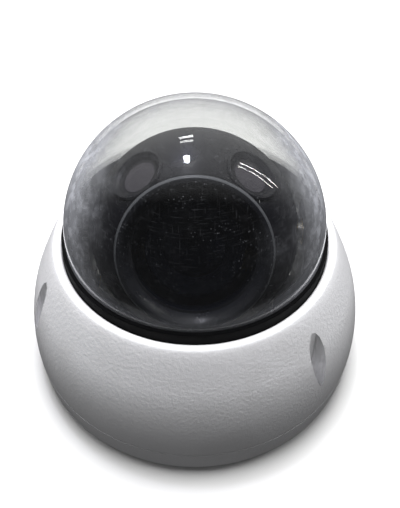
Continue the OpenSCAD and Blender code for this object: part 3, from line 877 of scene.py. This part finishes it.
@dataclass
class Housing:
    """The die-cast base and cover, with their rounded lip and screw pockets."""

    top: float = field(default_factory=lambda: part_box("cover_casting")[1].z / MM)
    width: float = 153.0
    equator: float = 18.2
    side_arc: float = 90.0
    seam: float = 13.8
    seam_gap: float = 0.35
    wall: float = 3.0
    opening: float = 58.0
    roll: float = 2.2
    roll_from: float = 52.0
    roll_lean: float = 35.0
    lip_under: float = 65.5
    flange_in: float = 65.2
    pocket_at: float = 71.2
    pocket: float = 4.4
    pocket_floor: float = 20.0
    pocket_angles: tuple = (-43.5, 76.5, 196.5)
    pad_angle: float = 136.5
    pad_height: float = 16.5
    steps: int = 288

    @property
    def arc_x(self) -> float:
        """Radius coordinate of the side arc's centre."""
        return self.width / 2 - self.side_arc

    def side_at(self, z: float, inset: float = 0.0) -> float:
        """Radius of the outside at a height.

        Args:
            z: The height.
            inset: How far inside the surface.

        Returns:
            The radius.
        """
        return self.arc_x + math.sqrt((self.side_arc - inset) ** 2 - (z - self.equator) ** 2)

    def side_angle(self, z: float, inset: float = 0.0) -> float:
        """Angle on the side arc of a point at a height, in degrees.

        Args:
            z: The height.
            inset: How far inside the surface.

        Returns:
            The angle.
        """
        return math.degrees(math.asin((z - self.equator) / (self.side_arc - inset)))

    def cover_outline(self) -> Outline:
        """The cover's section.

        Returns:
            The closed outline.
        """
        centre = (self.arc_x, self.equator)
        low, edge = self.seam, 0.45
        inner_top = self.side_angle(self.lip_under, self.wall)
        inner_low = self.side_angle(self.seam + 2.5, self.wall)
        roll = (self.opening + self.roll, self.top - self.roll)
        out = Outline()
        outer, above = self.side_at(low) - edge, self.side_at(low + edge) - 0.1
        out.to((self.flange_in, low), (outer, low), (above, low + 0.15))
        out.arc(centre, self.side_arc, self.side_angle(low + edge), self.side_angle(self.roll_from), 44)
        start = out.points[-1]
        end = Outline().arc(roll, self.roll, self.roll_lean, self.roll_lean, 1).points[0]
        slopes = [math.radians(a + 90) for a in (self.side_angle(self.roll_from), self.roll_lean)]
        out.blend(start, slopes[0], end, slopes[1], 14)
        out.arc(roll, self.roll, self.roll_lean, 180, 16)
        out.to((self.opening, self.lip_under))
        out.arc(centre, self.side_arc - self.wall, inner_top, inner_low, 24)
        out.to((self.flange_in, self.seam + 2.5))
        return out

    def base_outline(self) -> Outline:
        """The base's section: a floor with an outer wall and an inner ring.

        Returns:
            The closed outline.
        """
        centre = (self.arc_x, self.equator)
        high = self.seam - self.seam_gap
        edge = 0.6
        out = Outline()
        out.to((0.0, 0.0), (self.side_at(0.0) - 1.2, 0.0), (self.side_at(edge) - 0.35, 0.18))
        out.arc(centre, self.side_arc, self.side_angle(edge), self.side_angle(high - 0.4), 14)
        out.to((self.side_at(high) - 0.4, high), (self.side_at(high) - self.wall, high))
        out.to((self.side_at(4.5) - self.wall, 4.0), (69.4, 4.0), (69.4, high), (65.0, high))
        out.to((65.0, 4.0), (0.0, 4.0))
        return out

    def pocket_tools(self, bench: Bench, grow: float = 0.0) -> list:
        """Rods that cut the screw pockets.

        Args:
            bench: The bench that makes them.
            grow: Extra radius.

        Returns:
            The tools.
        """
        tools = []
        for angle in self.pocket_angles:
            place = polar(angle, self.pocket_at)
            shape = Shape().rod(self.pocket + grow, self.pocket_floor, 80.0, place, 0.01, 64)
            tools.append(bench.raw(shape, "pocket_tool"))
        return tools

    def build_cover(self, bench: Bench, finishes: Finishes) -> None:
        """Models the cover with its pockets and the bosses round them.

        Args:
            bench: The bench.
            finishes: The materials.
        """
        shape = Shape().turned(self.cover_outline(), self.steps)
        cover = bench.piece(shape, "cover_shell", Body.HOUSING, finishes.coat, ("cover_casting",))
        bosses = []
        for angle in self.pocket_angles:
            rod = Shape().rod(self.pocket + 1.8, self.seam + 1.0, 64.0, polar(angle, self.pocket_at), 0.3, 64)
            boss = bench.raw(rod, "boss_tool")
            filling = bench.raw(Shape().turned(self.filled_outline(0.5), 144), "filling_tool")
            bench.carve(boss, [filling], "INTERSECT")
            bosses.append(boss)
        bench.carve(cover, bosses, "UNION")
        bench.carve(cover, self.pocket_tools(bench))
        self.round_pockets(cover, bench)
        screw_holes = [
            bench.raw(Shape().rod(2.2, 10.0, 30.0, polar(a, self.pocket_at), 0.01, 40), "hole_tool")
            for a in self.pocket_angles
        ]
        notch = bench.raw(self.pad_shape(0.4), "notch_tool")
        bench.carve(cover, [*screw_holes, notch])

    def filled_outline(self, inset: float) -> Outline:
        """The section of everything inside the outer surface.

        Args:
            inset: How far inside the surface it stays.

        Returns:
            The closed outline.
        """
        top = self.lip_under + 1.5
        out = Outline().to((0.0, 0.5))
        low, high = (self.side_angle(z, inset) for z in (0.5, top))
        return out.arc((self.arc_x, self.equator), self.side_arc - inset, low, high, 48).to((0.0, top))

    def round_pockets(self, cover: bpy.types.Object, bench: Bench) -> None:
        """Rounds the edge where each pocket meets the outside.

        Args:
            cover: The cover.
            bench: The bench.
        """
        bm = bmesh.new()
        bm.from_mesh(cover.data)
        centres = [polar(a, self.pocket_at * MM).translation for a in self.pocket_angles]

        def on_rim(vertex: bmesh.types.BMVert) -> bool:
            """Whether a point lies on a pocket's rim.

            Args:
                vertex: The point.

            Returns:
                True on a rim.
            """
            spot = Vector((vertex.co.x, vertex.co.y, 0.0))
            near = min((spot - c).length for c in centres)
            outside = math.hypot(vertex.co.x, vertex.co.y) / MM
            on_side = abs(outside - self.side_at(vertex.co.z / MM)) < 0.15
            return abs(near / MM - self.pocket) < 0.03 and on_side

        rim = [
            e for e in bm.edges
            if on_rim(e.verts[0]) and on_rim(e.verts[1]) and e.calc_face_angle(0.0) > math.radians(12)
        ]
        bmesh.ops.bevel(
            bm, geom=rim, affect="EDGES", offset=0.0005, segments=3, profile=0.5, material=-1,
            clamp_overlap=True
        )
        bmesh.ops.remove_doubles(bm, verts=bm.verts, dist=2e-6)
        bench.soften(bm)
        bm.to_mesh(cover.data)
        bm.free()

    def pad_shape(self, grow: float) -> Shape:
        """The conduit entry's pad.

        Args:
            grow: Extra size on each side.

        Returns:
            The shape.
        """
        face = polar(self.pad_angle, 0.0, self.pad_height) @ Matrix.Rotation(math.pi / 2, 4, "Y")
        shape = Shape().rod(14.5 + grow, 60.0, 77.0 if grow else 75.2, face, 0.4, 96)
        return shape

    def build_base(self, bench: Bench, finishes: Finishes) -> None:
        """Models the base with its bosses, posts, conduit pad and holes.

        Args:
            bench: The bench.
            finishes: The materials.
        """
        shape = Shape().turned(self.base_outline(), self.steps)
        base = bench.piece(shape, "base_shell", Body.HOUSING, finishes.coat, ("base_casting",))
        high = self.seam - self.seam_gap
        posts = [(polar(a, self.pocket_at - 1.2), 5.0, 3.0, high - 0.05) for a in self.pocket_angles]
        posts += [(Matrix.Translation((x, y, 0)), 3.0, 3.0, 6.0) for x in (-24, 24) for y in (6, -34)]
        posts += [(Matrix.Translation((x, y, 0)), 4.0, 3.0, 14.0) for x, y in ((-29.4, 17), (29.4, 17), (0, -34))]
        tools = [bench.raw(Shape().rod(r, low, top, place), "post_tool") for place, r, low, top in posts]
        pad = bench.raw(self.pad_shape(0.0), "pad_tool")
        bench.carve(base, [*tools, pad], "UNION")
        face = polar(self.pad_angle, 0.0, self.pad_height) @ Matrix.Rotation(math.pi / 2, 4, "Y")
        holes = [Shape().rod(10.0, 55.0, 80.0, face, 0.01, 96)]
        holes += [Shape().rod(2.4, -2.0, 8.0, polar(45 + 90 * k, 48.0), 0.01, 40) for k in range(4)]
        holes += [Shape().rod(2.04, 3.5, 20.0, polar(a, self.pocket_at), 0.01, 40) for a in self.pocket_angles]
        holes.append(Shape().rod(8.0, -2.0, 8.0, Matrix.Translation((0, 34, 0)), 0.01, 64))
        bench.carve(base, [bench.raw(h, "hole_tool") for h in holes])

    def build_screws(self, bench: Bench, finishes: Finishes) -> None:
        """Models the recessed cover screws with their hexagon sockets.

        Args:
            bench: The bench.
            finishes: The materials.
        """
        outline = Outline().to((0.0, 4.2), (1.6, 4.2), (2.0, 4.8), (2.0, 20.0), (3.5, 20.0), (3.6, 20.2))
        outline.to((3.6, 23.3)).arc((3.0, 23.3), 0.6, 0, 90, 5)
        outline.to((2.4, 23.9), (2.3, 23.7), (0.0, 23.7))
        shape = Shape()
        for angle in self.pocket_angles:
            shape.turned(outline, 48, polar(angle, self.pocket_at))
        screws = bench.piece(
            shape, "cover_screw_set", Body.HOUSING, finishes.screw, ("cover_screws",)
        )
        sockets = [
            bench.raw(Shape().rod(2.0, 21.2, 26.0, polar(a, self.pocket_at), 0.01, 6), "socket_tool")
            for a in self.pocket_angles
        ]
        bench.carve(screws, sockets)


@dataclass
class Dome:
    """The clear bubble and the black gasket that it stands in."""

    radius: float = 56.35
    wall: float = 2.5
    centre: float = 76.6
    flange: float = 59.3
    flange_low: float = 62.0
    flange_high: float = 64.5
    lip_under: float = 65.5
    band: float = 57.8
    band_top: float = 75.0
    steps: int = 192

    def build_bubble(self, bench: Bench, finishes: Finishes) -> None:
        """Models the bubble with its skirt and clamped flange.

        Args:
            bench: The bench.
            finishes: The materials.
        """
        middle = (0.0, self.centre)
        inside = self.radius - self.wall
        out = Outline()
        out.to((inside, self.flange_low), (self.flange, self.flange_low))
        out.to((self.flange, self.flange_high - 0.3))
        out.to((self.flange - 0.3, self.flange_high), (self.radius, self.flange_high))
        out.arc(middle, self.radius, 0, 90, 72)
        out.arc(middle, inside, 90, 0, 64)
        shape = Shape().turned(out, self.steps)
        bench.piece(shape, "bubble", Body.HOUSING, finishes.bubble, ("dome_bubble",))

    def build_gasket(self, bench: Bench, finishes: Finishes) -> None:
        """Models the gasket's standing band and its washer under the lip.

        Args:
            bench: The bench.
            finishes: The materials.
        """
        inner = self.radius + 0.02
        round_r = 0.6
        out = Outline()
        out.to((inner, self.flange_high), (self.flange, self.flange_high))
        out.to((self.flange, self.lip_under - 0.02))
        out.to((self.band, self.lip_under - 0.02))
        out.arc((self.band - round_r, self.band_top - 0.9), round_r, 0, 80, 6)
        out.arc((inner + 0.35, self.band_top - 0.35), 0.33, 60, 180, 6)
        shape = Shape().turned(out, self.steps)
        bench.piece(shape, "gasket_band", Body.HOUSING, finishes.rubber, ("dome_gasket",))


# ---------------------------------------------------------------- the camera ball


@dataclass
class CameraBall:
    """The black ball with its hood ring, lens, window and infrared lamps."""

    radius: float = 45.0
    wall: float = 2.4
    flat: float = 44.2
    split: float = -9.0
    hood: float = 32.4
    hood_in: float = 25.4
    hood_low: float = 26.5
    hood_top: float = 34.2
    hood_round: float = 1.8
    ir_tilt: float = 59.5
    ir_side: float = 37.6
    ir_window: float = 7.4
    ir_recess: float = 9.4
    ir_low: float = 41.0
    ir_high: float = 42.4
    place: Matrix = field(init=False)

    def __post_init__(self) -> None:
        """Finds the lens's own frame from the tilt and zoom joints."""
        joints = {j["name"]: j for j in frame["joints"]}
        centre = Vector(joints["tilt"]["pos_m"]) / MM
        axis = Vector(joints["zoom"]["axis"]).normalized()
        side = Vector((1.0, 0.0, 0.0))
        turn = Matrix((side, axis.cross(side), axis)).transposed().to_4x4()
        self.place = Matrix.Translation(centre) @ turn

    def ir_places(self) -> list:
        """Places of the two infrared lamps in the lens's frame, +Z outwards.

        Returns:
            The two places.
        """
        return [
            Matrix.Rotation(math.radians(side * self.ir_side), 4, "Z")
            @ Matrix.Rotation(math.radians(-self.ir_tilt), 4, "X")
            for side in (-1, 1)
        ]

    def shell_outline(self, start: float, end: float, steps: int) -> Outline:
        """The section of part of the ball's shell.

        Args:
            start: The first angle above the split plane's side, in degrees.
            end: The last angle.
            steps: How many pieces the outer arc has.

        Returns:
            The closed outline.
        """
        inside = self.radius - self.wall
        out = Outline().arc((0.0, 0.0), self.radius, start, end, steps)
        return out.arc((0.0, 0.0), inside, end, start, steps)

    def build_shells(self, bench: Bench, finishes: Finishes) -> None:
        """Models the front and rear shells.

        Args:
            bench: The bench.
            finishes: The materials.
        """
        split_angle = math.degrees(math.asin(self.split / self.radius))
        mouth = math.degrees(math.acos((self.hood + 0.1) / self.radius))
        front = Shape().turned(self.shell_outline(split_angle + 0.25, mouth, 44), 192)
        made = bench.piece(
            front, "ball_front", Body.BALL, finishes.shell, ("ball_front_shell",), self.place
        )
        rings = [
            bench.raw(Shape().rod(self.ir_recess + 2.6, 38.5, 44.2, spot, 0.45, 96), "boss_tool", self.place)
            for spot in self.ir_places()
        ]
        bench.carve(made, rings, "UNION")
        self.build_bezels(bench, finishes)
        cuts = []
        for spot in self.ir_places():
            dish = Outline().to((0.0, self.ir_high), (self.ir_window + 0.5, self.ir_high))
            dish.arc((self.ir_window + 0.6, self.ir_high + 1.1), 1.1, -88, -20, 5)
            dish.to((self.ir_recess + 1.0, 43.9), (self.ir_recess + 1.7, 44.35))
            dish.to((self.ir_recess + 1.9, 46.5), (0.0, 46.5))
            cuts.append(bench.raw(Shape().turned(dish, 72, spot), "dish_tool", self.place))
            bore = Shape().rod(self.ir_window, 30.0, 44.0, spot, 0.01, 72)
            cuts.append(bench.raw(bore, "bore_tool", self.place))
        for side in (-1, 1):
            turn = Matrix.Rotation(side * math.pi / 2, 4, "Y")
            facet = Shape().rod(15.0, self.flat, 60.0, turn, 0.01, 64)
            cuts.append(bench.raw(facet, "flat_tool", self.place))
            cuts.append(bench.raw(Shape().rod(4.0, 30.0, 60.0, turn, 0.01, 48), "pin_tool", self.place))
        bench.carve(made, cuts)
        rear = Shape().turned(self.shell_outline(-90, split_angle - 0.25, 44), 192)
        back = bench.piece(
            rear, "ball_rear", Body.BALL, finishes.shell, ("ball_rear_shell",), self.place
        )
        sides = [
            bench.raw(
                Shape().rod(15.0, self.flat, 60.0, Matrix.Rotation(side * math.pi / 2, 4, "Y"), 0.01, 64),
                "flat_tool", self.place,
            )
            for side in (-1, 1)
        ]
        bench.carve(back, sides)

    def build_bezels(self, bench: Bench, finishes: Finishes) -> None:
        """Models the raised rims round the infrared windows.

        Args:
            bench: The bench.
            finishes: The materials.
        """
        rim = Outline().arc((self.ir_recess + 1.7, 43.95), 0.6, 0, 345, 23)
        shape = Shape()
        for spot in self.ir_places():
            shape.turned(rim, 96, spot)
        bench.piece(shape, "ir_bezels", Body.BALL, finishes.shell, (), self.place)

    def build_hood(self, bench: Bench, finishes: Finishes) -> None:
        """Models the ring round the lens, with its rounded edge and stepped inside. Its rounded outer edge takes a
        lighter grey, a painted highlight.

        Args:
            bench: The bench.
            finishes: The materials.
        """
        edge = self.hood_round
        out = Outline().to((self.hood_in, self.hood_low - 1.8), (33.1, self.hood_low - 1.8), (33.1, self.hood_low))
        out.to((self.hood, self.hood_low))
        out.arc((self.hood - edge, self.hood_top - edge), edge, 0, 90, 10)
        out.to((self.hood_in + 4.4, self.hood_top), (self.hood_in + 4.0, self.hood_top - 0.25))
        out.to((self.hood_in + 1.3, 29.95), (self.hood_in + 1.2, 29.75), (self.hood_in, 29.75))
        shape = Shape().turned(out, 192)
        hood = bench.piece(shape, "hood", Body.BALL, finishes.trim, ("hood_ring",), self.place)
        # The faces of the rounded outer edge take the lighter grey: a painted highlight standing in for the light
        # that the edge catches.
        hood.data.materials.append(finishes.painted_highlight)
        back = self.place.inverted()
        for face in hood.data.polygons:
            spot = back @ (face.center / MM)
            across = math.hypot(spot.x, spot.y)
            face.material_index = int(across > self.hood - 0.6 * edge and spot.z > self.hood_top - 0.7 * edge)

    def build_window(self, bench: Bench, finishes: Finishes) -> None:
        """Models the flat front window.

        Args:
            bench: The bench.
            finishes: The materials.
        """
        out = Outline().to((0.0, 28.2), (self.hood_in - 0.05, 28.2), (self.hood_in - 0.05, 29.4))
        out.to((self.hood_in - 0.35, 29.7), (0.0, 29.7))
        bench.piece(
            Shape().turned(out, 128), "front_glass", Body.BALL, finishes.window,
            ("lens_window",), self.place,
        )

    def build_lens(self, bench: Bench, finishes: Finishes) -> None:
        """Models the lens's stepped front ring and its front element.

        Args:
            bench: The bench.
            finishes: The materials.
        """
        out = Outline().to((13.25, 22.0), (20.5, 22.0), (20.5, 25.2)).arc((19.7, 25.2), 0.8, 0, 90, 6)
        out.to((18.6, 26.0))
        radius, height = 18.6, 26.0
        for step in range(5):
            radius, height = radius - 0.45, height - 0.35
            out.to((radius, height + 0.35), (radius, height))
            radius -= 0.55
            out.to((radius, height))
        out.to((13.25, height))
        bench.piece(
            Shape().turned(out, 160), "lens_rim", Body.BALL, finishes.trim,
            ("lens_front_ring",), self.place,
        )
        glass = Outline().to((0.0, 19.0), (13.1, 19.0)).arc((0.0, 2.0), 24.0, 56.8, 90, 24)
        bench.piece(
            Shape().turned(glass, 128), "front_glass_element", Body.BALL, finishes.lens,
            ("front_element",), self.place,
        )

    def build_lamps(self, bench: Bench, finishes: Finishes) -> None:
        """Models the infrared windows, their lamp boards, lenses and reflectors.

        Args:
            bench: The bench.
            finishes: The materials.
        """
        windows, boards, lamps, cups = Shape(), Shape(), Shape(), Shape()
        pane = Outline().to((0.0, self.ir_low), (self.ir_window - 0.05, self.ir_low))
        pane.to((self.ir_window - 0.05, self.ir_high - 0.2), (self.ir_window - 0.25, self.ir_high))
        pane.to((0.0, self.ir_high))
        cup = Outline().to((2.9, 35.3), (3.5, 35.3), (6.6, 40.6), (6.1, 40.6))
        bulb = Outline().to((0.0, 36.5), (2.4, 36.5)).arc((0.0, 36.9), 2.4, 0, 90, 12)
        for spot in self.ir_places():
            windows.turned(pane, 72, spot)
            boards.rod(7.0, 34.0, 35.2, spot, 0.1, 48)
            boards.block((1.6, 0.9, 0.6), spot @ Vector((4.8, 0.0, 35.5)), 0.1, 1)
            cups.turned(cup, 64, spot)
            lamps.rod(2.8, 35.2, 36.8, spot, 0.2, 40)
            lamps.turned(bulb, 48, spot)
        made = (
            (windows, "ir_panes", finishes.smoked, Slot.SMOKED, ("ir_windows",)),
            (boards, "ir_boards", finishes.board, Slot.BOARD, ("ir_led_boards",)),
            (lamps, "ir_lamp_set", finishes.lamp, Slot.LENS, ("ir_lamps",)),
            (cups, "ir_reflectors", finishes.screw, Slot.STEEL, ()),
        )
        for shape, name, finish, slot, nodes in made:
            bench.piece(shape, name, Body.BALL, finish, nodes, self.place)


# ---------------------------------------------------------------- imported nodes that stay


@dataclass
class PackedParts:
    """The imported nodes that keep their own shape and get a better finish."""

    def finish_of(self, finishes: Finishes) -> dict[str, bpy.types.Material]:
        """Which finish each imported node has.

        Args:
            finishes: The materials.

        Returns:
            Materials by node name.
        """
        groups = {
            finishes.coat: "base_casting cover_casting",
            finishes.bubble: "dome_bubble",
            finishes.rubber: "cover_seal dome_gasket cable_grommet",
            finishes.shell: "ball_front_shell ball_rear_shell",
            finishes.trim: "hood_ring lens_front_ring",
            finishes.matt: "yoke_left yoke_right lens_barrel zoom_ring focus_ring filter_frame zoom_group "
                           "focus_group reset_button switch_body slip_ring_housing",
            finishes.light: "turntable",
            finishes.nylon: "pan_pinion tilt_idler tilt_gear",
            finishes.steel: "dome_clamp_ring network_socket chassis_plate bearing_outer bearing_inner pan_motor "
                            "tilt_motor motor_bracket lens_plate lens_motors",
            finishes.screw: "cover_screws screw_clips clamp_screws board_screws chassis_screws yoke_screws "
                            "bearing_balls idler_pin trunnion_left trunnion_right",
            finishes.brass: "tilt_bush_left tilt_bush_right tilt_pinion zoom_drive focus_drive",
            finishes.gold: "slip_ring_rotor",
            finishes.board: "main_board sensor_board ir_led_boards",
            finishes.green: "power_terminal",
            finishes.lens: "front_element filter_slide",
            finishes.window: "lens_window",
            finishes.smoked: "ir_windows",
            finishes.lamp: "ir_lamps",
        }
        return {name: finish for finish, names in groups.items() for name in names.split()}

    def dress(self, finishes: Finishes) -> None:
        """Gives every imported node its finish.

        Args:
            finishes: The materials.
        """
        for name, finish in self.finish_of(finishes).items():
            node = frame["nodes"][name]
            node.data.materials.clear()
            node.data.materials.append(finish)
            LOG.info("node %s: %s", name, finish.name)


# ---------------------------------------------------------------- the studio


@dataclass
class Studio:
    """A pale floor, soft light and the camera."""

    elevation: float = 45.88
    pitch: float = 47.91
    distance: float = 355.0
    focal: float = 58.07
    shift: float = 0.0104
    look_at: float = 76.6

    def build_camera(self) -> None:
        """Places the camera in front of and above the dome."""
        data = bpy.data.cameras.new("camera")
        data.lens, data.sensor_width = self.focal, 36.0
        data.shift_x = self.shift
        data.clip_start = 0.01
        made = bpy.data.objects.new("camera", data)
        lift = math.radians(self.elevation)
        made.location = (
            0.0,
            -self.distance * math.cos(lift) * MM,
            (self.look_at + self.distance * math.sin(lift)) * MM,
        )
        made.rotation_euler = (math.radians(90.0 - self.pitch), 0.0, 0.0)
        bpy.context.scene.collection.objects.link(made)
        bpy.context.scene.camera = made

    def build_floor(self) -> None:
        """Lays the floor under the camera's base."""
        bm = bmesh.new()
        bmesh.ops.create_grid(bm, x_segments=8, y_segments=8, size=4.0)
        mesh = bpy.data.meshes.new("floor")
        bm.to_mesh(mesh)
        bm.free()
        floor = bpy.data.objects.new("floor", mesh)
        floor.data.materials.append(Floor().make())
        floor.visible_diffuse = False
        floor.visible_glossy = False
        bpy.context.scene.collection.objects.link(floor)

    def reflected(self, across: float, up: float, reach: float) -> Vector:
        """Where a light stands if its reflection shows at a spot of the bubble.

        Args:
            across: The spot's distance right of the bubble's middle, as a share of its radius.
            up: Its distance above the middle, as a share of the radius.
            reach: The light's distance from the bubble in metres.

        Returns:
            The light's place in metres.
        """
        lift = math.radians(self.elevation)
        towards = Vector((0.0, -math.cos(lift), math.sin(lift)))
        upwards = Vector((0.0, math.sin(lift), math.cos(lift)))
        depth = math.sqrt(max(0.0, 1.0 - across**2 - up**2))
        normal = Vector((1.0, 0.0, 0.0)) * across + upwards * up + towards * depth
        bounced = normal * (2.0 * normal.dot(towards)) - towards
        return Vector((0.0, 0.0, self.look_at * MM)) + bounced * reach

    def lamp(self, name: str, power: float, size: Point, at: Vector, colour: Colour = (1.0, 1.0, 1.0),
             mirrored: bool = True) -> bpy.types.Object:
        """Adds a soft rectangular light that faces the bubble.

        Args:
            name: Its name.
            power: Its power in watts.
            size: Its width and height in metres.
            at: Where it stands, in metres.
            colour: Its colour.
            mirrored: Whether reflections show it.

        Returns:
            The light.
        """
        data = bpy.data.lights.new(name, "AREA")
        data.shape, data.energy, data.color = "RECTANGLE", power, colour
        data.size, data.size_y = size
        made = bpy.data.objects.new(name, data)
        made.location = at
        middle = Vector((0.0, 0.0, self.look_at * MM))
        made.rotation_euler = (middle - made.location).to_track_quat("-Z", "Y").to_euler()
        made.visible_glossy = mirrored
        bpy.context.scene.collection.objects.link(made)
        return made

    def build_light(self) -> None:
        """Sets the overhead light, the lights that the bubble mirrors, and the surroundings."""
        self.lamp("ceiling", 50.0, (0.8, 0.8), Vector((0.0, 0.26, 1.6)), mirrored=False)
        self.lamp("low_bounce", 0.6, (1.0, 0.1), Vector((0.0, -0.8, 0.06)), mirrored=False)
        self.lamp("left_fill", 3.2, (0.8, 0.5), Vector((-1.3, 0.35, 0.6)), mirrored=False)
        self.lamp("right_fill", 2.2, (0.8, 0.5), Vector((1.3, 0.35, 0.6)), mirrored=False)
        self.lamp("high_window", 0.6, (0.18, 0.05), self.reflected(-0.06, 0.617, 1.2))
        spot = self.lamp("round_lamp", 2.6, (0.09, 0.09), self.reflected(-0.056, 0.468, 1.2), (0.85, 0.85, 1.0))
        spot.data.shape = "DISK"
        start, end = self.reflected(0.317, 0.431, 1.2), self.reflected(0.579, 0.267, 1.2)
        along = end - start
        tube = self.lamp("tube", 0.9, (0.012, along.length), (start + end) / 2)
        facing = (Vector((0.0, 0.0, self.look_at * MM)) - tube.location).normalized()
        side = along.normalized().cross(-facing).normalized()
        tube.rotation_euler = Matrix((side, along.normalized(), -facing)).transposed().to_euler()
        self.build_surroundings((0.0, 0.8, 0.6), 0.06, 1.0)

    def build_surroundings(self, bright_side: tuple, dark: float, bright: float) -> None:
        """Sets a plain gradient all round.

        Args:
            bright_side: The direction of its bright side.
            dark: Its grey on the dark side.
            bright: Its grey on the bright side.
        """
        world = bpy.data.worlds.new("surroundings")
        world.use_nodes = True
        tree = world.node_tree
        tree.nodes.clear()
        out = tree.nodes.new("ShaderNodeOutputWorld")
        sky = tree.nodes.new("ShaderNodeBackground")
        ramp = tree.nodes.new("ShaderNodeMapRange")
        lean = tree.nodes.new("ShaderNodeVectorMath")
        where = tree.nodes.new("ShaderNodeTexCoord")
        lean.operation = "DOT_PRODUCT"
        lean.inputs[1].default_value = bright_side
        for socket, value in zip(ramp.inputs[1:5], (0.2, 1.0, dark, bright)):
            socket.default_value = value
        tree.links.new(where.outputs["Generated"], lean.inputs[0])
        tree.links.new(lean.outputs["Value"], ramp.inputs["Value"])
        tree.links.new(ramp.outputs["Result"], sky.inputs["Strength"])
        tree.links.new(sky.outputs[0], out.inputs["Surface"])
        bpy.context.scene.world = world
        bpy.context.scene.view_settings.view_transform = "Standard"


def main() -> None:
    """Builds the camera, the pieces that show, the finishes and the studio."""
    logging.basicConfig(level=logging.INFO, format="%(message)s")
    studio = Studio()
    studio.build_camera()
    finishes = Finishes()
    bench = Bench()
    housing = Housing()
    housing.build_cover(bench, finishes)
    housing.build_base(bench, finishes)
    housing.build_screws(bench, finishes)
    dome = Dome()
    dome.build_bubble(bench, finishes)
    dome.build_gasket(bench, finishes)
    ball = CameraBall()
    ball.build_shells(bench, finishes)
    ball.build_hood(bench, finishes)
    ball.build_window(bench, finishes)
    ball.build_lens(bench, finishes)
    ball.build_lamps(bench, finishes)
    PackedParts().dress(finishes)
    studio.build_floor()
    studio.build_light()


if __name__ == "__main__":
    main()
